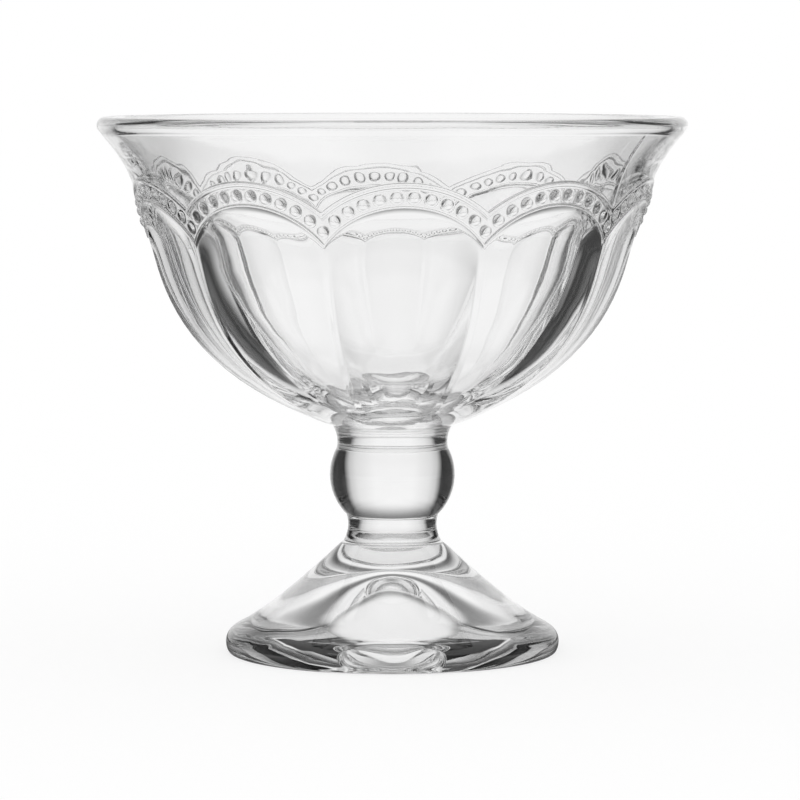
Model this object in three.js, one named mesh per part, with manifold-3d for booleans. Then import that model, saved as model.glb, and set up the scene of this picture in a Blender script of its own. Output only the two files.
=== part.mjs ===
// Pressed-glass dessert coupe: a fluted bowl with a beaded scallop band, on a short stem with a ball knop
// and a spreading foot. Millimetres, +Z up, origin at the centre of the foot's resting plane. The five
// gathers of glass are stacked on the axis and fused hot at flat seams.
import * as THREE from 'three';
import { mergeVertices } from 'three/addons/utils/BufferGeometryUtils.js';
import Module from 'manifold-3d';

// Foot
const FOOT_DIAMETER = 68.3;
const FOOT_HEIGHT = 22.8;
const FOOT_EDGE_HEIGHT = 2.2;
const FOOT_EDGE_INSET = 0.95;
const FOOT_SHOULDER_DIAMETER = 63.8;
const FOOT_SHOULDER_HEIGHT = 5.3;
const FOOT_SHOULDER_ANGLE = 28;
const FOOT_SHOULDER_FULLNESS = 7.8;
const FOOT_TOP_ANGLE = 42.4;
const FOOT_TOP_FULLNESS = 10.1;
const FOOT_HOLLOW_DIAMETER = 52;
const FOOT_HOLLOW_DEPTH = 11.5;
const FOOT_HOLLOW_TOP_FULLNESS = 7.5;
const FOOT_HOLLOW_RIM_ANGLE = 5;
const FOOT_HOLLOW_RIM_FULLNESS = 9;

// Stem: a waisted neck on the foot, a ball knop, and a waisted collar under the bowl
const NECK_HEIGHT = 5.4;
const NECK_FOOT_DIAMETER = 19.9;
const NECK_WAIST_DIAMETER = 18.2;
const NECK_KNOP_DIAMETER = 18.8;
const KNOP_DIAMETER = 25.6;
const KNOP_POLE_HEIGHT = 12;
const COLLAR_HEIGHT = 4.6;
const COLLAR_KNOP_DIAMETER = 22.8;
const COLLAR_WAIST_DIAMETER = 22.7;
const COLLAR_BOWL_DIAMETER = 24.4;

// Outside of the bowl, with heights above its seat on the collar
const BOWL_HEIGHT = 63;
const RIM_DIAMETER = 120;
const LIP_RADIUS = 1.7;
const BODY_DIAMETER = 95.7;
const BODY_HEIGHT = 32.6;
const UNDERSIDE_ANGLE = 19.4;
const UNDERSIDE_FULLNESS = 19.1;
const SIDE_ANGLE = 16.2;
const SIDE_FULLNESS = 17.5;
const FLARE_HEIGHT = 47.6;
const FLARE_ANGLE = 39.2;
const FLARE_START_FULLNESS = 5.6;
const FLARE_END_FULLNESS = 6.4;

// Inside of the bowl, as the plunger leaves it
const FLOOR_THICKNESS = 5.2;
const INNER_DIAMETER = 87.2;
const INNER_HEIGHT = 33.6;
const INNER_FLOOR_FULLNESS = 24;
const INNER_SIDE_FULLNESS = 15.5;
const INNER_SIDE_ANGLE = 19.6;
const INNER_FLARE_HEIGHT = 48.5;
const LIP_OVERHANG = 0.65;
const LIP_FILLET_RADIUS = 1;

// Flutes: scooped panels with arched tops, parted by narrow ridges
const PANEL_COUNT = 10;
const FLUTE_DEPTH = 2.7;
const FLUTE_TOP_RUNOUT = 7;
const FLUTE_FOOT_HEIGHT = 1;
const FLUTE_FOOT_RUNOUT = 6;
const RIDGE_WIDTH = 1.4;

// Beaded band that follows the arches, measured from the line of bead centres
const ARCH_TOP_HEIGHT = 48.3;
const ARCH_RISE = 6.7;
const BEADS_PER_PANEL = 11;
const BEAD_DIAMETER = 2.6;
const BEAD_SINK = 0.3;
const BAND_ABOVE_BEADS = 2.8;
const BAND_BELOW_BEADS = 2.2;
const UPPER_FILLET_WIDTH = 1.1;
const UPPER_FILLET_CROWN = 0.45;
const LOWER_FILLET_WIDTH = 0.5;
const UPPER_FILLET_RELIEF = 0.45;
const LOWER_FILLET_RELIEF = 0.3;

// Fineness of the facets
const WELD_DISTANCE = 1e-4;
const STEM_SIDES = 40;
const FOOT_SIDES = 60;
const COLUMNS_PER_PANEL = 8;
const FLUTE_ROW_SHARES = [0, 0.05, 0.12, 0.22, 0.34, 0.48, 0.62, 0.76, 0.86, 0.94];
const CURVE_SAMPLES = 80;
const EDGE_STEPS = 4;
const FOOT_CONE_STEPS = 5;
const HOLLOW_STEPS = 8;
const WAIST_STEPS = 5;
const KNOP_STEPS = 10;
const FLARE_STEPS = 4;
const LIP_STEPS = 6;
const LIP_FILLET_STEPS = 2;
const INNER_STEPS = 8;

const wasm = await Module();
wasm.setup();

const radians = THREE.MathUtils.degToRad;
const point = (x, y) => new THREE.Vector2(x, y);

// The point a given length from start, in a direction given in degrees above the horizontal.
function along(start, angle, length) {
  return point(start.x + length * Math.cos(radians(angle)), start.y + length * Math.sin(radians(angle)));
}

// Turns a profile of radius and height round the vertical axis.
function revolve(profile, sides) {
  return new THREE.LatheGeometry(profile, sides).rotateX(Math.PI / 2);
}

// A closed solid from a geometry, without the slivers that a revolve leaves on its axis.
function toSolid(geometry) {
  const bare = geometry.clone();
  bare.deleteAttribute('normal');
  bare.deleteAttribute('uv');
  const welded = mergeVertices(bare, WELD_DISTANCE);
  const corners = welded.index.array;
  const triangles = [];
  for (let i = 0; i < corners.length; i += 3) {
    const [a, b, c] = [corners[i], corners[i + 1], corners[i + 2]];
    if (a !== b && b !== c && c !== a) triangles.push(a, b, c);
  }
  const vertProperties = new Float32Array(welded.attributes.position.array);
  const triVerts = new Uint32Array(triangles);
  return new wasm.Manifold(new wasm.Mesh({ numProp: 3, vertProperties, triVerts }));
}

function toGeometry(solid) {
  const mesh = solid.getMesh();
  const geometry = new THREE.BufferGeometry();
  geometry.setAttribute('position', new THREE.BufferAttribute(new Float32Array(mesh.vertProperties), 3));
  geometry.setIndex(new THREE.BufferAttribute(new Uint32Array(mesh.triVerts), 1));
  geometry.computeVertexNormals();
  return geometry;
}

const glass = new THREE.MeshStandardMaterial({
  color: 0xe9eeee,
  roughness: 0.03,
  metalness: 0,
  transparent: true,
  opacity: 0.4,
});

function piece(name, geometry, height) {
  const mesh = new THREE.Mesh(geometry, glass.clone());
  mesh.name = name;
  mesh.position.z = height;
  return mesh;
}

// The foot: a concave cone with a rounded edge. A bell-shaped hollow underneath leaves a ring to rest on.
function footGeometry() {
  const edge = FOOT_DIAMETER / 2;
  const hollowTop = point(0, FOOT_HOLLOW_DEPTH);
  const hollowRim = point(FOOT_HOLLOW_DIAMETER / 2, 0);
  const shoulder = point(FOOT_SHOULDER_DIAMETER / 2, FOOT_SHOULDER_HEIGHT);
  const top = point(NECK_FOOT_DIAMETER / 2, FOOT_HEIGHT);
  const hollow = new THREE.CubicBezierCurve(
    hollowTop, along(hollowTop, 0, FOOT_HOLLOW_TOP_FULLNESS),
    along(hollowRim, 180 - FOOT_HOLLOW_RIM_ANGLE, FOOT_HOLLOW_RIM_FULLNESS), hollowRim,
  );
  const lowerEdge = new THREE.EllipseCurve(
    edge - FOOT_EDGE_INSET, FOOT_EDGE_HEIGHT, FOOT_EDGE_INSET, FOOT_EDGE_HEIGHT, -Math.PI / 2, 0,
  );
  const edgeCorner = point(edge, shoulder.y - (edge - shoulder.x) * Math.tan(radians(FOOT_SHOULDER_ANGLE)));
  const upperEdge = new THREE.QuadraticBezierCurve(point(edge, FOOT_EDGE_HEIGHT), edgeCorner, shoulder);
  const cone = new THREE.CubicBezierCurve(
    shoulder, along(shoulder, 180 - FOOT_SHOULDER_ANGLE, FOOT_SHOULDER_FULLNESS),
    along(top, -FOOT_TOP_ANGLE, FOOT_TOP_FULLNESS), top,
  );
  const profile = [
    ...hollow.getPoints(HOLLOW_STEPS),
    ...lowerEdge.getPoints(EDGE_STEPS),
    ...upperEdge.getPoints(EDGE_STEPS).slice(1),
    ...cone.getPoints(FOOT_CONE_STEPS).slice(1),
    point(0, FOOT_HEIGHT),
  ];
  return toGeometry(toSolid(revolve(profile, FOOT_SIDES)));
}

// A waisted length of stem between two flat seams.
function waistGeometry(height, bottomDiameter, waistDiameter, topDiameter) {
  const bend = waistDiameter - (bottomDiameter + topDiameter) / 4;
  const side = new THREE.QuadraticBezierCurve(
    point(bottomDiameter / 2, 0), point(bend, height / 2), point(topDiameter / 2, height),
  );
  const profile = [point(0, 0), ...side.getPoints(WAIST_STEPS), point(0, height)];
  return toGeometry(toSolid(revolve(profile, STEM_SIDES)));
}

function neckGeometry() {
  return waistGeometry(NECK_HEIGHT, NECK_FOOT_DIAMETER, NECK_WAIST_DIAMETER, NECK_KNOP_DIAMETER);
}

function collarGeometry() {
  return waistGeometry(COLLAR_HEIGHT, COLLAR_KNOP_DIAMETER, COLLAR_WAIST_DIAMETER, COLLAR_BOWL_DIAMETER);
}

// The knop is an ellipsoid cut flat where the neck and the collar meet it.
const knopBelowCentre = KNOP_POLE_HEIGHT * Math.sqrt(1 - (NECK_KNOP_DIAMETER / KNOP_DIAMETER) ** 2);
const knopAboveCentre = KNOP_POLE_HEIGHT * Math.sqrt(1 - (COLLAR_KNOP_DIAMETER / KNOP_DIAMETER) ** 2);
const knopHeight = knopBelowCentre + knopAboveCentre;

function knopGeometry() {
  const side = new THREE.EllipseCurve(
    0, knopBelowCentre, KNOP_DIAMETER / 2, KNOP_POLE_HEIGHT,
    -Math.acos(NECK_KNOP_DIAMETER / KNOP_DIAMETER), Math.acos(COLLAR_KNOP_DIAMETER / KNOP_DIAMETER),
  );
  const profile = [point(0, 0), ...side.getPoints(KNOP_STEPS), point(0, knopHeight)];
  return toGeometry(toSolid(revolve(profile, STEM_SIDES)));
}

// The rolled lip, where the outside and the inside of the bowl meet. It is thicker than the wall below it, so
// it stands proud inside the bowl, and a fillet leads from it down to the wall.
const lipCentre = point(RIM_DIAMETER / 2 - LIP_RADIUS, BOWL_HEIGHT - LIP_RADIUS);
const flareRise = 90 - FLARE_ANGLE;
const sideRise = 90 - SIDE_ANGLE;
const innerSideRise = 90 - INNER_SIDE_ANGLE;
const intoBowl = flareRise + 90;
const lipReach = LIP_RADIUS + LIP_FILLET_RADIUS;
const lipEnd = intoBowl + THREE.MathUtils.radToDeg(Math.acos(1 - LIP_OVERHANG / lipReach));
const lipFilletCentre = along(lipCentre, lipEnd, lipReach);

// Outside of the bowl along a ridge: a round underside, a straight tapering side and a flared rim.
function outerCurves() {
  const seat = point(COLLAR_BOWL_DIAMETER / 2, 0);
  const bodyTop = point(BODY_DIAMETER / 2, BODY_HEIGHT);
  const flareStart = along(bodyTop, sideRise, (FLARE_HEIGHT - BODY_HEIGHT) / Math.sin(radians(sideRise)));
  const flareEnd = along(lipCentre, flareRise - 90, LIP_RADIUS);
  return {
    body: new THREE.CubicBezierCurve(
      seat, along(seat, UNDERSIDE_ANGLE, UNDERSIDE_FULLNESS),
      along(bodyTop, sideRise, -SIDE_FULLNESS), bodyTop,
    ),
    side: new THREE.LineCurve(bodyTop, flareStart),
    flare: new THREE.CubicBezierCurve(
      flareStart, along(flareStart, sideRise, FLARE_START_FULLNESS),
      along(flareEnd, flareRise, -FLARE_END_FULLNESS), flareEnd,
    ),
  };
}

// Inside of the bowl, from the lip down to the middle of its floor.
function innerCurves() {
  const rimInside = along(lipFilletCentre, intoBowl, -LIP_FILLET_RADIUS);
  const bodyTop = point(INNER_DIAMETER / 2, INNER_HEIGHT);
  const sideLength = (INNER_FLARE_HEIGHT - INNER_HEIGHT) / Math.sin(radians(innerSideRise));
  const flareStart = along(bodyTop, innerSideRise, sideLength);
  const floor = point(0, FLOOR_THICKNESS);
  return {
    flare: new THREE.CubicBezierCurve(
      rimInside, along(rimInside, flareRise, -FLARE_END_FULLNESS),
      along(flareStart, innerSideRise, FLARE_START_FULLNESS), flareStart,
    ),
    body: new THREE.CubicBezierCurve(
      bodyTop, along(bodyTop, innerSideRise, -INNER_SIDE_FULLNESS),
      along(floor, 0, INNER_FLOOR_FULLNESS), floor,
    ),
  };
}

const outer = outerCurves();
const inner = innerCurves();
const outerSamples = [
  ...outer.body.getPoints(CURVE_SAMPLES),
  ...outer.side.getPoints(1).slice(1),
  ...outer.flare.getPoints(CURVE_SAMPLES).slice(1),
];

// Radius of the ridges at a height above the bowl's seat.
function ridgeRadius(height) {
  const next = outerSamples.findIndex((sample) => sample.y >= height);
  if (next < 1) return outerSamples.at(next).x;
  const [low, high] = [outerSamples[next - 1], outerSamples[next]];
  return low.x + ((height - low.y) / (high.y - low.y)) * (high.x - low.x);
}

// The bead line of one panel is an arc of a circle on the unrolled side of the bowl.
const halfPanel = Math.PI / PANEL_COUNT;
const bandRadius = ridgeRadius(ARCH_TOP_HEIGHT - ARCH_RISE / 2);
const halfChord = halfPanel * bandRadius;
const archRadius = (halfChord * halfChord + ARCH_RISE * ARCH_RISE) / (2 * ARCH_RISE);
const archCentreHeight = ARCH_TOP_HEIGHT - archRadius;
const archHalfAngle = Math.asin(halfChord / archRadius);

// Height of a line that runs above or below the beads, at an angle from the middle of its panel.
function archHeight(angle, offset) {
  const across = bandRadius * angle;
  const radius = archRadius + offset;
  return archCentreHeight + Math.sqrt(radius * radius - across * across);
}

// A run-out that starts steeply at 0 and comes level at 1.
function runout(distance, length) {
  const share = THREE.MathUtils.clamp(distance / length, 0, 1);
  return 1 - (1 - share) ** 2;
}

// Depth of the scooped flute below the ridges.
function fluteDepth(angle, height) {
  const radius = ridgeRadius(height);
  const halfWidth = halfPanel * radius - RIDGE_WIDTH / 2;
  const share = Math.min(Math.abs(angle) * radius / halfWidth, 1);
  const fromArch = archHeight(angle, -BAND_BELOW_BEADS) - height;
  return FLUTE_DEPTH * (radius / bandRadius) * (1 - share * share)
    * runout(fromArch, FLUTE_TOP_RUNOUT) * runout(height - FLUTE_FOOT_HEIGHT, FLUTE_FOOT_RUNOUT);
}

// Rows of the bowl's skin, from the middle of its seat over the lip to the middle of its floor. Each row
// gives radius and height at an angle from the middle of a panel, so that the rows can follow the arches.
function bowlRows() {
  const rows = [];
  const ring = ({ x, y }) => rows.push(() => point(x, y));
  ring(point(0, 0));
  ring(point(COLLAR_BOWL_DIAMETER / 2, 0));
  for (const share of FLUTE_ROW_SHARES) {
    rows.push((angle) => {
      const top = archHeight(angle, -BAND_BELOW_BEADS);
      const height = THREE.MathUtils.lerp(FLUTE_FOOT_HEIGHT, top, share);
      return point(ridgeRadius(height) - fluteDepth(angle, height), height);
    });
  }
  const bandSection = [
    [-BAND_BELOW_BEADS, LOWER_FILLET_RELIEF],
    [LOWER_FILLET_WIDTH - BAND_BELOW_BEADS, 0],
    [BAND_ABOVE_BEADS - UPPER_FILLET_WIDTH, 0],
    [BAND_ABOVE_BEADS - (UPPER_FILLET_WIDTH + UPPER_FILLET_CROWN) / 2, UPPER_FILLET_RELIEF],
    [BAND_ABOVE_BEADS - (UPPER_FILLET_WIDTH - UPPER_FILLET_CROWN) / 2, UPPER_FILLET_RELIEF],
    [BAND_ABOVE_BEADS, 0],
  ];
  for (const [offset, relief] of bandSection) {
    rows.push((angle) => {
      const height = archHeight(angle, offset);
      return point(ridgeRadius(height) + relief, height);
    });
  }
  const flare = outer.flare.getPoints(CURVE_SAMPLES);
  const plainStart = archHeight(0, BAND_ABOVE_BEADS) + UPPER_FILLET_WIDTH;
  const plainPoints = flare.filter((sample) => sample.y > plainStart);
  for (let step = 0; step <= FLARE_STEPS; step += 1) {
    ring(plainPoints[Math.round((step / FLARE_STEPS) * (plainPoints.length - 1))]);
  }
  const lip = new THREE.EllipseCurve(
    lipCentre.x, lipCentre.y, LIP_RADIUS, LIP_RADIUS, radians(flareRise - 90), radians(lipEnd),
  );
  const lipFillet = new THREE.EllipseCurve(
    lipFilletCentre.x, lipFilletCentre.y, LIP_FILLET_RADIUS, LIP_FILLET_RADIUS,
    radians(lipEnd - 180), radians(intoBowl - 180), true,
  );
  lip.getPoints(LIP_STEPS).slice(1).forEach(ring);
  lipFillet.getPoints(LIP_FILLET_STEPS).slice(1).forEach(ring);
  inner.flare.getPoints(FLARE_STEPS).slice(1).forEach(ring);
  inner.body.getPoints(INNER_STEPS).forEach(ring);
  return rows;
}

// The pressed skin of the bowl: a revolve whose points are moved on to the rows above.
function bowlSkin() {
  const rows = bowlRows();
  const columns = PANEL_COUNT * COLUMNS_PER_PANEL;
  const geometry = new THREE.LatheGeometry(rows.map((row) => row(0)), columns);
  const position = geometry.attributes.position;
  for (let column = 0; column <= columns; column += 1) {
    const turn = (2 * Math.PI * column) / columns;
    const angle = ((column + COLUMNS_PER_PANEL / 2) % COLUMNS_PER_PANEL) / COLUMNS_PER_PANEL - 0.5;
    rows.forEach((row, index) => {
      const { x: radius, y: height } = row(angle * 2 * halfPanel);
      position.setXYZ(column * rows.length + index, radius * Math.sin(turn), height, radius * Math.cos(turn));
    });
  }
  return geometry.rotateX(Math.PI / 2);
}

// One bead of the band: the first of each panel sits on the cusp that it shares with its neighbour.
function beadGeometry(panel, bead) {
  const archAngle = archHalfAngle * ((2 * bead) / BEADS_PER_PANEL - 1);
  const height = archCentreHeight + archRadius * Math.cos(archAngle);
  const turn = 2 * halfPanel * panel + (archRadius * Math.sin(archAngle)) / bandRadius;
  const radius = ridgeRadius(height) - BEAD_SINK;
  return new THREE.IcosahedronGeometry(BEAD_DIAMETER / 2)
    .rotateZ(turn)
    .translate(radius * Math.sin(turn), -radius * Math.cos(turn), height);
}

function bowlGeometry() {
  let solid = toSolid(bowlSkin());
  for (let panel = 0; panel < PANEL_COUNT; panel += 1) {
    for (let bead = 0; bead < BEADS_PER_PANEL; bead += 1) {
      solid = solid.add(toSolid(beadGeometry(panel, bead)));
    }
  }
  return toGeometry(solid);
}

const neckBase = FOOT_HEIGHT;
const knopBase = neckBase + NECK_HEIGHT;
const collarBase = knopBase + knopHeight;
const bowlBase = collarBase + COLLAR_HEIGHT;

const dessertGlass = new THREE.Group();
dessertGlass.add(
  piece('foot', footGeometry(), 0),
  piece('stem_neck', neckGeometry(), neckBase),
  piece('stem_knop', knopGeometry(), knopBase),
  piece('bowl_collar', collarGeometry(), collarBase),
  piece('bowl', bowlGeometry(), bowlBase),
);

export default dessertGlass;
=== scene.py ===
"""Looks of a pressed-glass dessert coupe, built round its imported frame.

Sizes are in millimetres and become metres where a mesh is made. Heights on the bowl are above its seat.
A fullness is how far a curve runs on in the direction of its angle before it turns away.
"""
import math

import bpy
import numpy as np
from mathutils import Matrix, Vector


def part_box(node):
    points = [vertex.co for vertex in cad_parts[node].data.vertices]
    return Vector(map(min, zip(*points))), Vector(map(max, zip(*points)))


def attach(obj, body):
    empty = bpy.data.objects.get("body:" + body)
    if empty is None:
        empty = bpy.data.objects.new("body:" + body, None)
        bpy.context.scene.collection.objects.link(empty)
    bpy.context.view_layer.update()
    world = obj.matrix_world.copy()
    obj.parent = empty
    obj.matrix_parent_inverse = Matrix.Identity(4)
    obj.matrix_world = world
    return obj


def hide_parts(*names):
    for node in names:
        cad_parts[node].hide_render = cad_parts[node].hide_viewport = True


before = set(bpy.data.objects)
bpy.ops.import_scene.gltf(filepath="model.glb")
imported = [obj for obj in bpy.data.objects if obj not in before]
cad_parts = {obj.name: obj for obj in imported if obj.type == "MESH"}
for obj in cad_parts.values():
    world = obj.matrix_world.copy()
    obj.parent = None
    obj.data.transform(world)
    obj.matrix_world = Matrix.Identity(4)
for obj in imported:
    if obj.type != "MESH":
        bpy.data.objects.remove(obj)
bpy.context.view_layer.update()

MM = 0.001

# Places of the fused pieces, from the frame
BOWL_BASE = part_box("bowl")[0].z / MM
RIM_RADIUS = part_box("bowl")[1].x / MM
COLLAR_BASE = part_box("bowl_collar")[0].z / MM
KNOP_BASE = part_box("stem_knop")[0].z / MM
NECK_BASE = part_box("stem_neck")[0].z / MM
FOOT_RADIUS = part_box("foot")[1].x / MM
KNOP_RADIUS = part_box("stem_knop")[1].x / MM
SEAT_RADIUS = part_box("bowl_collar")[1].x / MM
NECK_FOOT_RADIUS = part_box("stem_neck")[1].x / MM

# Foot: a rounded edge, a shoulder, a cone up to the neck and a bell-shaped hollow underneath
FOOT_EDGE_HEIGHT = 2.2
FOOT_EDGE_INSET = 0.95
FOOT_SHOULDER_RADIUS = 31.9
FOOT_SHOULDER_HEIGHT = 5.3
FOOT_SHOULDER_ANGLE = 28
FOOT_SHOULDER_FULLNESS = 7.8
FOOT_TOP_ANGLE = 42.4
FOOT_TOP_FULLNESS = 10.1
FOOT_HOLLOW_RADIUS = 26
FOOT_HOLLOW_DEPTH = 11.5
FOOT_HOLLOW_TOP_FULLNESS = 7.5
FOOT_HOLLOW_RIM_ANGLE = 5
FOOT_HOLLOW_RIM_FULLNESS = 9

# Stem: neck, ball knop and collar
NECK_WAIST_RADIUS = 9.1
NECK_KNOP_RADIUS = 9.4
KNOP_POLE_HEIGHT = 12
COLLAR_KNOP_RADIUS = 11.4
COLLAR_WAIST_RADIUS = 11.35

# Outside of the bowl
BOWL_HEIGHT = 63
LIP_RADIUS = 1.7
LIP_OVERHANG = 0.65
LIP_FILLET_RADIUS = 1
BODY_RADIUS = 47.85
BODY_HEIGHT = 32.6
UNDERSIDE_ANGLE = 19.4
UNDERSIDE_FULLNESS = 19.1
SIDE_ANGLE = 16.2
SIDE_FULLNESS = 17.5
FLARE_HEIGHT = 47.6
FLARE_ANGLE = 39.2
FLARE_START_FULLNESS = 5.6
FLARE_END_FULLNESS = 6.4

# Inside of the bowl
FLOOR_THICKNESS = 5.2
INNER_RADIUS = 43.6
INNER_HEIGHT = 33.6
INNER_FLOOR_FULLNESS = 24
INNER_SIDE_FULLNESS = 15.5
INNER_SIDE_ANGLE = 19.6
INNER_FLARE_HEIGHT = 48.5

# Flutes
PANEL_COUNT = 10
FLUTE_DEPTH = 2.7
FLUTE_TOP_RUNOUT = 7
FLUTE_FOOT_HEIGHT = 1
FLUTE_FOOT_RUNOUT = 6
RIDGE_WIDTH = 1.4

# Beaded band: an arch over each flute, with a fillet along each side and the beads between them
ARCH_TOP_HEIGHT = 48.3
ARCH_RISE = 6.7
BEADS_PER_PANEL = 11
BEAD_RADIUS = 1.32
BEAD_DOME = 1.25
BEAD_SINK = 0.4
BEAD_FILLET = 0.06
BEAD_LIMIT = 1.3 * BEAD_RADIUS
BAND_ABOVE_BEADS = 2.8
BAND_BELOW_BEADS = 2.2
BAND_TOP_MARGIN = 0.1
PLAIN_ABOVE_BAND = 2
UPPER_FILLET_WIDTH = 1.1
UPPER_FILLET_RELIEF = 0.45
LOWER_FILLET_WIDTH = 0.5
LOWER_FILLET_RELIEF = 0.3

# Seam that the mould leaves on the outside of the bowl, in degrees from the middle of a flute
SEAM_TURN = 54
SEAM_HEIGHT = 0.15
SEAM_WIDTH = 0.7
SEAM_START_RADIUS = 30
SEAM_TOP_HEIGHT = 60.5
SEAM_FADE = 3
SEAM_LEAST_OUTWARD = 0.1

# Columns of the bowl's skin in one panel, finest where the beads are, and sides of the stem and foot
COLUMNS_PER_BEAD = 16
BEAD_COLUMNS = COLUMNS_PER_BEAD * BEADS_PER_PANEL
SIDE_COLUMNS = BEAD_COLUMNS // 2
PLAIN_COLUMNS = SIDE_COLUMNS // 2
STEM_SIDES = 144

# Rows of the skins. Across a fillet they lie closest on its steep sides
FLUTE_ROWS = 22
FILLET_ROWS = [-1, -0.93, -0.8, -0.55, -0.2, 0.2, 0.55, 0.8, 0.93, 1]
BEAD_ROWS = 14
ABOVE_BAND_ROWS = 7
FLARE_ROWS = 8
LIP_ROWS = 16
LIP_FILLET_ROWS = 7
INNER_FLARE_ROWS = 12
INNER_SIDE_ROWS = 5
INNER_BODY_ROWS = 26
WAIST_ROWS = 24
KNOP_ROWS = 48
FOOT_EDGE_ROWS = 14
FOOT_CURVE_ROWS = 40
CURVE_SAMPLES = 400
WELD_DISTANCE = 0.002
LEVEL_TOLERANCE = 0.001

# Glass, with the size and depth of the ripple on its skin
GLASS_COLOUR = "FDFDFD"
GLASS_IOR = 1.52
RIPPLE_SIZE = 13
RIPPLE_DETAIL = 1.5
RIPPLE_FINENESS = 0.4
RIPPLE_DEPTH = 1
RIPPLE_STRENGTH = 0.22
RIPPLE_LOW = 0.3
RIPPLE_HIGH = 0.7
DULLEST_POLISH = 0.02
GLASS_BOUNCES = 48
SEAM_BOUNCES = 32

# Camera, from the photograph: distance and height from the foot, turn from the middle of a flute
CAMERA_DISTANCE = 815
CAMERA_HEIGHT = 120.4
CAMERA_TURN = 2.9
CAMERA_PITCH = 4.83
CAMERA_SIDESTEP = 1.57
CAMERA_LENS = 180
CAMERA_RANGE = 50000
SENSOR_WIDTH = 36

# Light that the glass sees on the walls, and painted light and shade on the far table, by degrees from the
# middle of the backdrop:
# a bright backdrop, a dark flag at each side, and less light behind the camera
BACKDROP_TURN = 2
WALL_LEVELS = [
    (0, 0.97), (12, 0.95), (25, 0.8), (32, 0.6), (39, 0.02), (95, 0.02), (125, 0.04), (140, 0.3),
    (150, 0.4), (168, 0.3), (180, 0.3),
]
TABLE_LEVELS = [
    (0, 0.97), (12, 0.95), (25, 0.8), (32, 0.6), (39, 0.02), (73, 0.02), (85, 0.55), (100, 0.6),
    (120, 0.8), (150, 0.8), (168, 0.4), (180, 0.3),
]

# Above the walls, in degrees of height: a dim gap, then a soft box overhead
GAP_START = 14
GAP_END = 32
GAP_LEVEL = 0.2
SOFT_BOX_START = 36
SOFT_BOX_END = 46
SOFT_BOX_LEVEL = 0.9

# Table: pale near the glass, a film of air under the foot, and how far it shines by itself
TABLE_REACH = 6000
AIR_FILM = 0.05
NEAR_TABLE = 20
FAR_TABLE = 75
NEAR_LEVEL = 0.9
TABLE_GLOW = 0.75
GLOW_IN_GLASS = 0.45

# Painted shade on the table along the sides of the foot's edge: a dark grey mixed into the colour that the
# glass sees there, not a cast shadow. Each pair is where it is nothing and where it is full, by distance from
# the axis on the inside and on the outside, and by distance to the side
EDGE_SHADE_LEVEL = 0.06
EDGE_SHADE_INSIDE = (26, 31)
EDGE_SHADE_OUTSIDE = (50, 34)
EDGE_SHADE_SIDE = (8, 18)

# Sockets of a Mix node that mixes colours
COLOUR_A = 6
COLOUR_B = 7
COLOUR_OUT = 2


def point(radius, height):
    return np.array([radius, height], float)


def along(start, angle, length):
    """The point a given length from start, in a direction in degrees above the horizontal."""
    return start + length * np.array([math.cos(math.radians(angle)), math.sin(math.radians(angle))])


def cubic(start, first, second, end, count):
    share = np.linspace(0, 1, count)[:, None]
    rest = 1 - share
    return rest**3 * start + 3 * rest**2 * share * first + 3 * rest * share**2 * second + share**3 * end


def quadratic(start, bend, end, count):
    share = np.linspace(0, 1, count)[:, None]
    rest = 1 - share
    return rest**2 * start + 2 * rest * share * bend + share**2 * end


def arc(centre, radii, first_angle, last_angle, count):
    angles = np.radians(np.linspace(first_angle, last_angle, count))
    return centre + np.stack([radii[0] * np.cos(angles), radii[1] * np.sin(angles)], axis=1)


# Profiles of the bowl

lip_centre = point(RIM_RADIUS - LIP_RADIUS, BOWL_HEIGHT - LIP_RADIUS)
flare_rise = 90 - FLARE_ANGLE
side_rise = 90 - SIDE_ANGLE
inner_rise = 90 - INNER_SIDE_ANGLE
into_bowl = flare_rise + 90
lip_reach = LIP_RADIUS + LIP_FILLET_RADIUS
lip_end = into_bowl + math.degrees(math.acos(1 - LIP_OVERHANG / lip_reach))
lip_fillet_centre = along(lip_centre, lip_end, lip_reach)
inner_flare_top = along(lip_fillet_centre, into_bowl, -LIP_FILLET_RADIUS)


def outer_profile():
    """Outside of the bowl along a ridge: a round underside, a straight tapering side and a flared rim."""
    seat = point(SEAT_RADIUS, 0)
    body_top = point(BODY_RADIUS, BODY_HEIGHT)
    side_length = (FLARE_HEIGHT - BODY_HEIGHT) / math.sin(math.radians(side_rise))
    flare_start = along(body_top, side_rise, side_length)
    flare_end = along(lip_centre, flare_rise - 90, LIP_RADIUS)
    body = cubic(
        seat, along(seat, UNDERSIDE_ANGLE, UNDERSIDE_FULLNESS), along(body_top, side_rise, -SIDE_FULLNESS),
        body_top, CURVE_SAMPLES,
    )
    flare = cubic(
        flare_start, along(flare_start, side_rise, FLARE_START_FULLNESS),
        along(flare_end, flare_rise, -FLARE_END_FULLNESS), flare_end, CURVE_SAMPLES,
    )
    return np.concatenate([body, flare])


def inner_profile():
    """Inside of the bowl, from the lip down to the middle of its floor."""
    body_top = point(INNER_RADIUS, INNER_HEIGHT)
    side_length = (INNER_FLARE_HEIGHT - INNER_HEIGHT) / math.sin(math.radians(inner_rise))
    flare_start = along(body_top, inner_rise, side_length)
    floor = point(0, FLOOR_THICKNESS)
    flare = cubic(
        inner_flare_top, along(inner_flare_top, flare_rise, -FLARE_END_FULLNESS),
        along(flare_start, inner_rise, FLARE_START_FULLNESS), flare_start, INNER_FLARE_ROWS,
    )
    body = cubic(
        body_top, along(body_top, inner_rise, -INNER_SIDE_FULLNESS),
        along(floor, 0, INNER_FLOOR_FULLNESS), floor, INNER_BODY_ROWS,
    )
    side = np.linspace(flare_start, body_top, INNER_SIDE_ROWS)[1:-1]
    return np.concatenate([flare, side, body])


ridge_line = outer_profile()


def ridge_radius(height):
    return np.interp(height, ridge_line[:, 1], ridge_line[:, 0])


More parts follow.
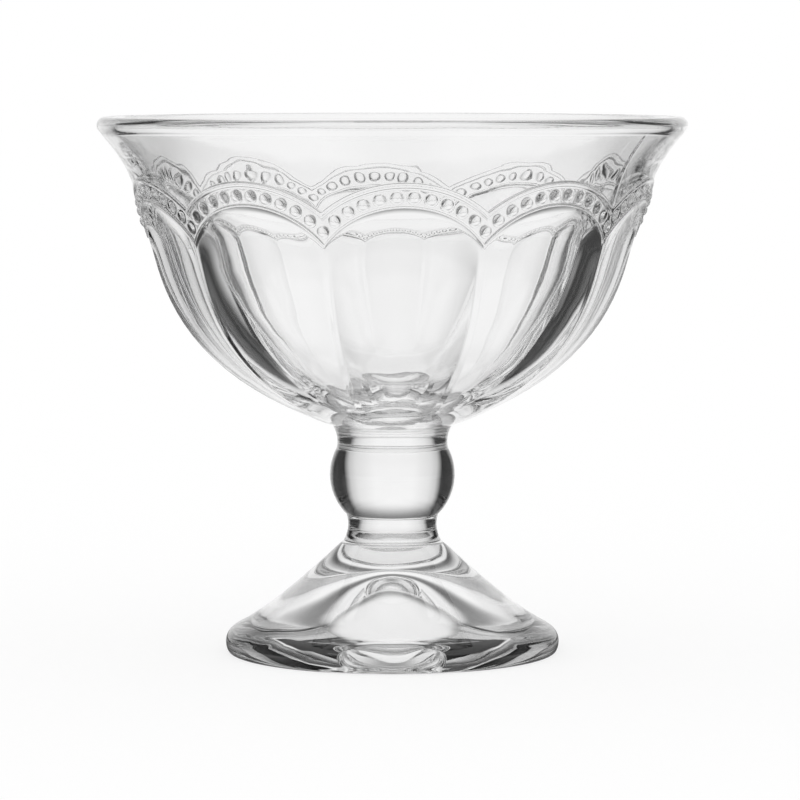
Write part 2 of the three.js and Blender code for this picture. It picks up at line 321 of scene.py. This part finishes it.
half_panel = math.pi / PANEL_COUNT
band_radius = float(ridge_radius(ARCH_TOP_HEIGHT - ARCH_RISE / 2))
half_chord = half_panel * band_radius
arch_radius = (half_chord**2 + ARCH_RISE**2) / (2 * ARCH_RISE)
arch_centre_height = ARCH_TOP_HEIGHT - arch_radius
arch_half_angle = math.asin(half_chord / arch_radius)
slant = 1 / math.cos(math.radians(SIDE_ANGLE))


def arch_height(angle, offset):
    """Height of a line that runs a given distance above or below the bead line."""
    return arch_centre_height + np.sqrt((arch_radius + offset) ** 2 - (band_radius * angle) ** 2)


def runout(distance, length):
    """Starts steeply at 0 and comes level at 1."""
    share = np.clip(distance / length, 0, 1)
    return 1 - (1 - share) ** 2


def flute_depth(angle, height):
    """Depth of a flute under the ridges. It runs out under the arch and at the bowl's seat."""
    radius = ridge_radius(height)
    half_width = half_panel * radius - RIDGE_WIDTH / 2
    share = np.minimum(np.abs(angle) * radius / half_width, 1)
    from_arch = arch_height(angle, -BAND_BELOW_BEADS) - height
    depth = FLUTE_DEPTH * radius / band_radius * (1 - share**2)
    return depth * runout(from_arch, FLUTE_TOP_RUNOUT) * runout(height - FLUTE_FOOT_HEIGHT, FLUTE_FOOT_RUNOUT)


def raised_fillet(distance, width, relief):
    """A narrow moulding with steep sides and a round top."""
    share = np.clip(np.abs(distance) / (width / 2), 0, 1)
    return relief * (1 - share**4)


def bead_relief(angle, height):
    """Flattened beads along the arch, with a small fillet where each meets the band."""
    relief = np.zeros_like(angle)
    for bead in range(BEADS_PER_PANEL + 1):
        arch_angle = arch_half_angle * (2 * bead / BEADS_PER_PANEL - 1)
        across = band_radius * angle - arch_radius * math.sin(arch_angle)
        up = (height - arch_centre_height - arch_radius * math.cos(arch_angle)) * slant
        distance = np.sqrt(across**2 + up**2)
        dome = BEAD_DOME * np.sqrt(np.maximum(1 - (distance / BEAD_RADIUS) ** 2, 0)) - BEAD_SINK
        soft = (dome + np.sqrt(dome**2 + BEAD_FILLET**2)) / 2
        relief = np.maximum(relief, np.where(distance < BEAD_LIMIT, soft, 0))
    return relief


def outer_radius(angle, height):
    """Radius of the pressed outside of the bowl, with its flutes, fillets and beads."""
    offset = np.hypot(band_radius * angle, height - arch_centre_height) - arch_radius
    offset = np.where(height > arch_centre_height, offset, -arch_radius)
    above = offset - BAND_ABOVE_BEADS + UPPER_FILLET_WIDTH / 2
    below = offset + BAND_BELOW_BEADS - LOWER_FILLET_WIDTH / 2
    upper = raised_fillet(above, UPPER_FILLET_WIDTH, UPPER_FILLET_RELIEF)
    lower = raised_fillet(below, LOWER_FILLET_WIDTH, LOWER_FILLET_RELIEF)
    return ridge_radius(height) - flute_depth(angle, height) + upper + lower + bead_relief(angle, height)


# The bowl: one pressed panel, repeated round the axis

def column_angles(count):
    """Angles from the middle of a panel, spaced so that columns fall on the beads."""
    arch_angles = np.linspace(-arch_half_angle, arch_half_angle, count + 1)
    return arch_radius * np.sin(arch_angles) / band_radius


def panel_rows():
    """Rows of the panel's skin from its seat over the lip to its floor, as (angles, radii, heights)."""
    rows = []

    def plain(radius, height, columns):
        angles = column_angles(columns) if columns else np.zeros(1)
        rows.append((angles, np.full_like(angles, radius), np.full_like(angles, height)))

    def pressed(heights, angles):
        rows.append((angles, outer_radius(angles, heights), heights))

    side = column_angles(SIDE_COLUMNS)
    fine = column_angles(BEAD_COLUMNS)
    plain(0, 0, 0)
    plain(SEAT_RADIUS, 0, SIDE_COLUMNS)
    flute_top = arch_height(side, -BAND_BELOW_BEADS)
    for share in np.linspace(0, 1, FLUTE_ROWS)[1:]:
        # Rows lie closer together at both ends of a flute, where it runs out
        eased = 0.5 * share + 0.5 * (1 - math.cos(math.pi * share)) / 2
        pressed(eased * flute_top, side)
    for share in FILLET_ROWS:
        pressed(arch_height(side, -BAND_BELOW_BEADS + (1 + share) / 2 * LOWER_FILLET_WIDTH), side)
    bead_reach = BEAD_RADIUS + BEAD_FILLET
    for offset in np.linspace(-bead_reach, bead_reach, BEAD_ROWS):
        pressed(arch_height(fine, offset), fine)
    for share in FILLET_ROWS:
        pressed(arch_height(side, BAND_ABOVE_BEADS - (1 - share) / 2 * UPPER_FILLET_WIDTH), side)
    band_top = BAND_ABOVE_BEADS + BAND_TOP_MARGIN
    pressed(arch_height(side, band_top), side)
    plain_start = float(arch_height(0, band_top)) + PLAIN_ABOVE_BAND
    for share in np.linspace(0, 1, ABOVE_BAND_ROWS)[1:]:
        pressed(arch_height(side, band_top) * (1 - share) + plain_start * share, side)
    flare_top = ridge_line[-1]
    for height in np.linspace(plain_start, flare_top[1], FLARE_ROWS)[1:]:
        plain(float(ridge_radius(height)), height, SIDE_COLUMNS)
    lip = arc(lip_centre, (LIP_RADIUS, LIP_RADIUS), flare_rise - 90, lip_end, LIP_ROWS)
    for radius, height in lip[1:]:
        plain(radius, height, PLAIN_COLUMNS)
    fillet_radii = (LIP_FILLET_RADIUS, LIP_FILLET_RADIUS)
    fillet = arc(lip_fillet_centre, fillet_radii, lip_end - 180, into_bowl - 180, LIP_FILLET_ROWS)
    for radius, height in fillet[1:-1]:
        plain(radius, height, PLAIN_COLUMNS)
    for radius, height in inner_profile()[:-1]:
        plain(radius, height, PLAIN_COLUMNS)
    plain(0, FLOOR_THICKNESS, 0)
    return rows


def stitch(low, high):
    """Faces between two rows of corners with the same count, half or double the count, or a single corner."""
    if len(low) == len(high):
        return [(low[i], low[i + 1], high[i + 1], high[i]) for i in range(len(low) - 1)]
    if len(low) == 1:
        return [(low[0], high[i + 1], high[i]) for i in range(len(high) - 1)]
    if len(high) == 1:
        return [(low[i], low[i + 1], high[0]) for i in range(len(low) - 1)]
    faces = []
    if len(low) > len(high):
        for i in range(len(high) - 1):
            left, middle, right = low[2 * i : 2 * i + 3]
            faces += [(left, middle, high[i]), (middle, high[i + 1], high[i]), (middle, right, high[i + 1])]
        return faces
    for i in range(len(low) - 1):
        left, middle, right = high[2 * i : 2 * i + 3]
        faces += [(low[i], middle, left), (low[i], low[i + 1], middle), (low[i + 1], right, middle)]
    return faces


def new_object(name, corners, faces):
    """An object at the origin, with its place in its mesh."""
    mesh = bpy.data.meshes.new(name)
    mesh.from_pydata((np.asarray(corners) * MM).tolist(), [], faces)
    mesh.update()
    piece = bpy.data.objects.new(name, mesh)
    bpy.context.scene.collection.objects.link(piece)
    return piece


def skin(rows, base):
    """Corners and faces of rows given as (angles, radii, heights), with angle 0 towards -Y."""
    corners = []
    faces = []
    previous = None
    for angles, radii, heights in rows:
        first = len(corners)
        row = np.stack([radii * np.sin(angles), -radii * np.cos(angles), heights + base], axis=1)
        corners += row.tolist()
        current = list(range(first, len(corners)))
        if previous:
            faces += stitch(previous, current)
        previous = current
    return corners, faces


def settle(piece, modifier):
    """Leaves a piece as a plain mesh of what its modifier makes."""
    evaluated = piece.evaluated_get(bpy.context.evaluated_depsgraph_get())
    finished = bpy.data.meshes.new_from_object(evaluated)
    piece.modifiers.remove(modifier)
    piece.data = finished


def add_node(tree, kind, inputs=(), **settings):
    """Adds a node with its settings. An input is a value, or the output socket to link it to."""
    node = tree.nodes.new(kind)
    for name, value in settings.items():
        setattr(node, name, value)
    for key, value in dict(inputs).items():
        if isinstance(value, bpy.types.NodeSocket):
            tree.links.new(value, node.inputs[key])
        else:
            node.inputs[key].default_value = value
    return node


def linear(hex_colour):
    """An sRGB hex colour as linear RGBA."""
    values = [int(hex_colour[i : i + 2], 16) / 255 for i in (0, 2, 4)]
    return [v / 12.92 if v <= 0.04045 else ((v + 0.055) / 1.055) ** 2.4 for v in values] + [1]


def grey(level):
    """A level of light as linear RGBA."""
    return (level, level, level, 1)


# Materials

def pressed_soda_lime_glass():
    """Clear soda-lime glass, pressed in an iron mould and fire-polished: brilliant and colourless, with the
    slow ripple that the mould leaves on its skin."""
    material = bpy.data.materials.new("pressed_soda_lime_glass")
    material.use_nodes = True
    tree = material.node_tree
    shader = tree.nodes["Principled BSDF"]
    shader.inputs["Base Color"].default_value = linear(GLASS_COLOUR)
    shader.inputs["Transmission Weight"].default_value = 1
    shader.inputs["IOR"].default_value = GLASS_IOR
    place = add_node(tree, "ShaderNodeTexCoord")
    ripple = add_node(tree, "ShaderNodeTexNoise", {
        "Vector": place.outputs["Object"], "Scale": 1 / (RIPPLE_SIZE * MM), "Detail": RIPPLE_DETAIL,
        "Roughness": RIPPLE_FINENESS,
    })
    bump = add_node(tree, "ShaderNodeBump", {
        "Height": ripple.outputs["Fac"], "Strength": RIPPLE_STRENGTH, "Distance": RIPPLE_DEPTH * MM,
    })
    polish = add_node(tree, "ShaderNodeMapRange", {
        "Value": ripple.outputs["Fac"], "From Min": RIPPLE_LOW, "From Max": RIPPLE_HIGH,
        "To Min": 0, "To Max": DULLEST_POLISH,
    })
    tree.links.new(bump.outputs["Normal"], shader.inputs["Normal"])
    tree.links.new(polish.outputs["Result"], shader.inputs["Roughness"])
    return material


def fused_seam():
    """Where two gathers of hot glass have run together no surface is left, so light goes straight on."""
    material = bpy.data.materials.new("fused_seam")
    material.use_nodes = True
    tree = material.node_tree
    tree.nodes.remove(tree.nodes["Principled BSDF"])
    clear = add_node(tree, "ShaderNodeBsdfTransparent")
    tree.links.new(clear.outputs["BSDF"], tree.nodes["Material Output"].inputs["Surface"])
    return material


glass = pressed_soda_lime_glass()
seam = fused_seam()


def ring_of_panels_tree():
    """Geometry Nodes: repeats one panel round the axis and welds the copies into a closed skin."""
    tree = bpy.data.node_groups.new("ring_of_panels", "GeometryNodeTree")
    sockets = tree.interface
    sockets.new_socket("Panel", in_out="INPUT", socket_type="NodeSocketGeometry")
    sockets.new_socket("Panel Count", in_out="INPUT", socket_type="NodeSocketInt")
    sockets.new_socket("Weld Distance", in_out="INPUT", socket_type="NodeSocketFloat")
    sockets.new_socket("Glass", in_out="INPUT", socket_type="NodeSocketMaterial")
    sockets.new_socket("Bowl", in_out="OUTPUT", socket_type="NodeSocketGeometry")
    given = add_node(tree, "NodeGroupInput").outputs
    places = add_node(tree, "GeometryNodePoints", {"Count": given["Panel Count"]})
    step = add_node(tree, "ShaderNodeMath", {0: math.tau, 1: given["Panel Count"]}, operation="DIVIDE")
    index = add_node(tree, "GeometryNodeInputIndex")
    turn = add_node(tree, "ShaderNodeMath", {
        0: index.outputs["Index"], 1: step.outputs[0],
    }, operation="MULTIPLY")
    spin = add_node(tree, "ShaderNodeCombineXYZ", {"Z": turn.outputs[0]})
    copies = add_node(tree, "GeometryNodeInstanceOnPoints", {
        "Points": places.outputs[0], "Instance": given["Panel"], "Rotation": spin.outputs[0],
    })
    solid = add_node(tree, "GeometryNodeRealizeInstances", {"Geometry": copies.outputs[0]})
    welded = add_node(tree, "GeometryNodeMergeByDistance", {
        "Geometry": solid.outputs[0], "Distance": given["Weld Distance"],
    })
    smooth = add_node(tree, "GeometryNodeSetShadeSmooth", {
        "Geometry": welded.outputs[0], "Shade Smooth": True,
    })
    finished = add_node(tree, "GeometryNodeSetMaterial", {
        "Geometry": smooth.outputs[0], "Material": given["Glass"],
    })
    add_node(tree, "NodeGroupOutput", {"Bowl": finished.outputs[0]})
    return tree


def run_tree(piece, tree, values):
    """Runs a Geometry Nodes tree on a piece and leaves it as a plain mesh."""
    modifier = piece.modifiers.new(tree.name, "NODES")
    modifier.node_group = tree
    for item in tree.interface.items_tree:
        if item.in_out == "INPUT" and item.name in values:
            modifier[item.identifier] = values[item.name]
    settle(piece, modifier)


def clear_seams(piece, *heights):
    """Gives the flat seams of a piece, at these heights, the fused material."""
    piece.data.materials.append(seam)
    corner_heights = np.array([corner.co.z for corner in piece.data.vertices]) / MM
    for face in piece.data.polygons:
        levels = corner_heights[list(face.vertices)]
        if any(np.all(np.abs(levels - height) < LEVEL_TOLERANCE) for height in heights):
            face.material_index = 1
            face.use_smooth = False


def raise_mould_seam(piece):
    """Lifts the outside of the bowl into a thin fin where the halves of the mould met."""
    for corner in piece.data.vertices:
        place = corner.co / MM
        radius = math.hypot(place.x, place.y)
        if radius < SEAM_START_RADIUS:
            continue
        outward = (corner.normal.x * place.x + corner.normal.y * place.y) / radius
        turn = math.atan2(place.x, -place.y) - math.radians(SEAM_TURN)
        across = radius * math.sin(turn)
        if outward >= SEAM_LEAST_OUTWARD and math.cos(turn) > 0 and abs(across) < SEAM_WIDTH:
            below_lip = min(max((BOWL_BASE + SEAM_TOP_HEIGHT - place.z) / SEAM_FADE, 0), 1)
            lift = SEAM_HEIGHT * below_lip * math.exp(-((across / (SEAM_WIDTH / 2)) ** 2))
            corner.co += corner.normal * lift * MM
    piece.data.update()


def bowl():
    corners, faces = skin(panel_rows(), BOWL_BASE)
    piece = new_object("glass_bowl", corners, faces)
    run_tree(piece, ring_of_panels_tree(), {
        "Panel Count": PANEL_COUNT, "Weld Distance": WELD_DISTANCE * MM, "Glass": glass,
    })
    raise_mould_seam(piece)
    clear_seams(piece, BOWL_BASE)
    return piece


# Stem and foot: turned profiles

def turned(name, profile, base, *seam_heights):
    """A closed solid turned from a profile of (radius, height) that starts and ends on the axis."""
    angles = np.linspace(0, math.tau, STEM_SIDES + 1)
    rows = []
    for radius, height in profile:
        row = angles if radius > 0 else np.zeros(1)
        rows.append((row, np.full_like(row, radius), np.full_like(row, height)))
    corners, faces = skin(rows, base)
    piece = new_object(name, corners, faces)
    piece.data.materials.append(glass)
    weld(piece)
    clear_seams(piece, *seam_heights)
    return piece


def weld(piece):
    """Closes the line where a turned skin meets itself."""
    modifier = piece.modifiers.new("weld", "WELD")
    modifier.merge_threshold = WELD_DISTANCE * MM
    settle(piece, modifier)
    piece.data.shade_smooth()


def waist(bottom_radius, waist_radius, top_radius, height):
    """Profile of a short waisted piece: its side is a curve that is narrowest near the middle."""
    bend = 2 * waist_radius - (bottom_radius + top_radius) / 2
    bottom = point(bottom_radius, 0)
    top = point(top_radius, height)
    side = quadratic(bottom, point(bend, height / 2), top, WAIST_ROWS)
    return np.concatenate([[point(0, 0)], side, [point(0, height)]])


def knop_profile():
    """A slightly flattened ball, cut level where the neck and the collar meet it."""
    below = math.degrees(math.acos(NECK_KNOP_RADIUS / KNOP_RADIUS))
    above = math.degrees(math.acos(COLLAR_KNOP_RADIUS / KNOP_RADIUS))
    centre_height = KNOP_POLE_HEIGHT * math.sin(math.radians(below))
    side = arc(point(0, centre_height), (KNOP_RADIUS, KNOP_POLE_HEIGHT), -below, above, KNOP_ROWS)
    return np.concatenate([[point(0, side[0][1])], side, [point(0, side[-1][1])]])


def foot_profile():
    """The hollow from the axis outwards, the rounded edge, and the cone back up to the neck."""
    hollow_top = point(0, FOOT_HOLLOW_DEPTH)
    hollow_rim = point(FOOT_HOLLOW_RADIUS, 0)
    hollow = cubic(
        hollow_top, along(hollow_top, 0, FOOT_HOLLOW_TOP_FULLNESS),
        along(hollow_rim, 180 - FOOT_HOLLOW_RIM_ANGLE, FOOT_HOLLOW_RIM_FULLNESS), hollow_rim, FOOT_CURVE_ROWS,
    )
    edge_centre = point(FOOT_RADIUS - FOOT_EDGE_INSET, FOOT_EDGE_HEIGHT)
    lower_edge = arc(edge_centre, (FOOT_EDGE_INSET, FOOT_EDGE_HEIGHT), -90, 0, FOOT_EDGE_ROWS)
    shoulder = point(FOOT_SHOULDER_RADIUS, FOOT_SHOULDER_HEIGHT)
    fall = (FOOT_RADIUS - FOOT_SHOULDER_RADIUS) * math.tan(math.radians(FOOT_SHOULDER_ANGLE))
    upper_edge = quadratic(
        point(FOOT_RADIUS, FOOT_EDGE_HEIGHT), point(FOOT_RADIUS, FOOT_SHOULDER_HEIGHT - fall),
        shoulder, FOOT_EDGE_ROWS,
    )
    top = point(NECK_FOOT_RADIUS, NECK_BASE)
    cone = cubic(
        shoulder, along(shoulder, 180 - FOOT_SHOULDER_ANGLE, FOOT_SHOULDER_FULLNESS),
        along(top, -FOOT_TOP_ANGLE, FOOT_TOP_FULLNESS), top, FOOT_CURVE_ROWS,
    )
    return np.concatenate([hollow, lower_edge, upper_edge[1:], cone[1:], [point(0, NECK_BASE)]])


neck_profile = waist(NECK_FOOT_RADIUS, NECK_WAIST_RADIUS, NECK_KNOP_RADIUS, KNOP_BASE - NECK_BASE)
collar_profile = waist(COLLAR_KNOP_RADIUS, COLLAR_WAIST_RADIUS, SEAT_RADIUS, BOWL_BASE - COLLAR_BASE)
pieces = {
    "bowl": bowl(),
    "bowl_collar": turned("glass_collar", collar_profile, COLLAR_BASE, COLLAR_BASE, BOWL_BASE),
    "stem_knop": turned("glass_knop", knop_profile(), KNOP_BASE, KNOP_BASE, COLLAR_BASE),
    "stem_neck": turned("glass_neck", neck_profile, NECK_BASE, NECK_BASE, KNOP_BASE),
    "foot": turned("glass_foot", foot_profile(), 0, NECK_BASE),
}
for node, piece in pieces.items():
    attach(piece, "root")
    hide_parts(node)


# Studio: white to the camera, with a backdrop, dark flags and a soft box that only the glass sees

def studio_level(tree, direction, levels):
    """Light that the glass sees in a direction: the walls, a dim gap above them and a soft box overhead."""
    axes = add_node(tree, "ShaderNodeSeparateXYZ", {0: direction})
    turn = add_node(tree, "ShaderNodeMath", {
        0: axes.outputs["X"], 1: axes.outputs["Y"],
    }, operation="ARCTAN2")
    aside = add_node(tree, "ShaderNodeMath", {
        0: turn.outputs[0], 1: math.radians(BACKDROP_TURN),
    }, operation="SUBTRACT")
    side = add_node(tree, "ShaderNodeMath", {0: aside.outputs[0]}, operation="ABSOLUTE")
    share = add_node(tree, "ShaderNodeMath", {0: side.outputs[0], 1: math.pi}, operation="DIVIDE")
    ramp = add_node(tree, "ShaderNodeValToRGB", {"Fac": share.outputs[0]})
    stops = ramp.color_ramp.elements
    while len(stops) < len(levels):
        stops.new(0.5)
    for stop, (degrees, level) in zip(stops, levels):
        stop.position = degrees / 180
        stop.color = grey(level)
    gap = add_node(tree, "ShaderNodeMapRange", {
        "Value": axes.outputs["Z"], "From Min": math.sin(math.radians(GAP_START)),
        "From Max": math.sin(math.radians(GAP_END)), "To Min": 1, "To Max": GAP_LEVEL,
    }, interpolation_type="SMOOTHSTEP")
    walls = add_node(tree, "ShaderNodeMix", {
        "Factor": 1, COLOUR_A: ramp.outputs["Color"], COLOUR_B: gap.outputs["Result"],
    }, data_type="RGBA", blend_type="MULTIPLY")
    overhead = add_node(tree, "ShaderNodeMapRange", {
        "Value": axes.outputs["Z"], "From Min": math.sin(math.radians(SOFT_BOX_START)),
        "From Max": math.sin(math.radians(SOFT_BOX_END)),
    }, interpolation_type="SMOOTHSTEP")
    studio = add_node(tree, "ShaderNodeMix", {
        "Factor": overhead.outputs["Result"], COLOUR_A: walls.outputs[COLOUR_OUT],
        COLOUR_B: grey(SOFT_BOX_LEVEL),
    }, data_type="RGBA")
    return studio.outputs[COLOUR_OUT]


def white_except_to_glass(tree, studio):
    """White to the camera and as light on the table, and the studio to rays that the glass bends or
    reflects. Gives the colour and the Light Path node that it comes from."""
    path = add_node(tree, "ShaderNodeLightPath")
    by_glass = add_node(tree, "ShaderNodeMath", {
        0: path.outputs["Is Glossy Ray"], 1: path.outputs["Is Transmission Ray"],
    }, operation="MAXIMUM")
    shown = add_node(tree, "ShaderNodeMix", {
        "Factor": by_glass.outputs[0], COLOUR_A: grey(1), COLOUR_B: studio,
    }, data_type="RGBA")
    return shown.outputs[COLOUR_OUT], path


def studio_world():
    """The room: white to the camera, and walls, gap and soft box to the glass."""
    world = bpy.data.worlds.new("studio")
    bpy.context.scene.world = world
    world.use_nodes = True
    tree = world.node_tree
    place = add_node(tree, "ShaderNodeTexCoord")
    shown, _ = white_except_to_glass(tree, studio_level(tree, place.outputs["Generated"], WALL_LEVELS))
    tree.links.new(shown, tree.nodes["Background"].inputs["Color"])
    world.cycles.sampling_method = "NONE"


def studio_floor():
    """A pale table top that stays white to the camera and takes a soft shadow. Through the glass it is pale
    under the foot, has painted shade along the sides of the foot's edge, and further out is painted with the
    walls' light levels."""
    corners = [(-TABLE_REACH, -TABLE_REACH), (TABLE_REACH, -TABLE_REACH)]
    corners += [(-x, -y) for x, y in corners]
    floor = new_object("floor", np.array([(x, y, -AIR_FILM) for x, y in corners]), [(0, 1, 2, 3)])
    material = bpy.data.materials.new("pale_table")
    material.use_nodes = True
    tree = material.node_tree
    tree.nodes.remove(tree.nodes["Principled BSDF"])
    place = add_node(tree, "ShaderNodeTexCoord")
    reach = add_node(tree, "ShaderNodeVectorMath", {0: place.outputs["Object"]}, operation="LENGTH")
    beyond = add_node(tree, "ShaderNodeMapRange", {
        "Value": reach.outputs["Value"], "From Min": NEAR_TABLE * MM, "From Max": FAR_TABLE * MM,
    }, interpolation_type="SMOOTHSTEP")
    # Painted light and shade for the glass: further out, the table's colour takes the walls' levels, dark
    # flags included
    studio = add_node(tree, "ShaderNodeMix", {
        "Factor": beyond.outputs["Result"], COLOUR_A: grey(NEAR_LEVEL),
        COLOUR_B: studio_level(tree, place.outputs["Object"], TABLE_LEVELS),
    }, data_type="RGBA")
    axes = add_node(tree, "ShaderNodeSeparateXYZ", {0: place.outputs["Object"]})
    aside = add_node(tree, "ShaderNodeMath", {0: axes.outputs["X"]}, operation="ABSOLUTE")
    # Mask of the painted shade along the sides of the foot's edge
    edge_shade = 1
    for distance, (start, end) in (
        (reach.outputs["Value"], EDGE_SHADE_INSIDE), (reach.outputs["Value"], EDGE_SHADE_OUTSIDE),
        (aside.outputs[0], EDGE_SHADE_SIDE),
    ):
        fade = add_node(tree, "ShaderNodeMapRange", {
            "Value": distance, "From Min": start * MM, "From Max": end * MM,
        }, interpolation_type="SMOOTHSTEP")
        product = add_node(tree, "ShaderNodeMath", {0: edge_shade, 1: fade.outputs[0]}, operation="MULTIPLY")
        edge_shade = product.outputs[0]
    # Painted shade: mixes a dark grey into the table's colour where the mask is full
    shaded = add_node(tree, "ShaderNodeMix", {
        "Factor": edge_shade, COLOUR_A: studio.outputs[COLOUR_OUT], COLOUR_B: grey(EDGE_SHADE_LEVEL),
    }, data_type="RGBA")
    shown, path = white_except_to_glass(tree, shaded.outputs[COLOUR_OUT])
    matt = add_node(tree, "ShaderNodeBsdfDiffuse", {"Color": shown})
    lit = add_node(tree, "ShaderNodeEmission", {"Color": shown})
    glow = add_node(tree, "ShaderNodeMapRange", {
        "Value": path.outputs["Is Camera Ray"], "To Min": GLOW_IN_GLASS, "To Max": TABLE_GLOW,
    })
    mix = add_node(tree, "ShaderNodeMixShader", {0: glow.outputs[0], 1: matt.outputs[0], 2: lit.outputs[0]})
    tree.links.new(mix.outputs[0], tree.nodes["Material Output"].inputs["Surface"])
    floor.data.materials.append(material)


def camera():
    """The photograph's view: a long lens in front of the glass, tipped down a little."""
    data = bpy.data.cameras.new("photo_view")
    data.lens = CAMERA_LENS
    data.sensor_width = SENSOR_WIDTH
    data.clip_end = CAMERA_RANGE * MM
    eye = bpy.data.objects.new("photo_view", data)
    bpy.context.scene.collection.objects.link(eye)
    turn = math.radians(CAMERA_TURN)
    right = Vector((math.cos(turn), -math.sin(turn), 0))
    back = Vector((-math.sin(turn), -math.cos(turn), 0))
    eye.location = (back * CAMERA_DISTANCE + right * CAMERA_SIDESTEP + Vector((0, 0, CAMERA_HEIGHT))) * MM
    eye.rotation_euler = (math.radians(90 - CAMERA_PITCH), 0, -turn)
    bpy.context.scene.camera = eye


studio_world()
studio_floor()
camera()

# Light crosses many walls of glass, and the fused seams between them
scene = bpy.context.scene
scene.view_settings.view_transform = "Standard"
scene.cycles.max_bounces = GLASS_BOUNCES
scene.cycles.transmission_bounces = GLASS_BOUNCES
scene.cycles.glossy_bounces = GLASS_BOUNCES
scene.cycles.transparent_max_bounces = SEAM_BOUNCES
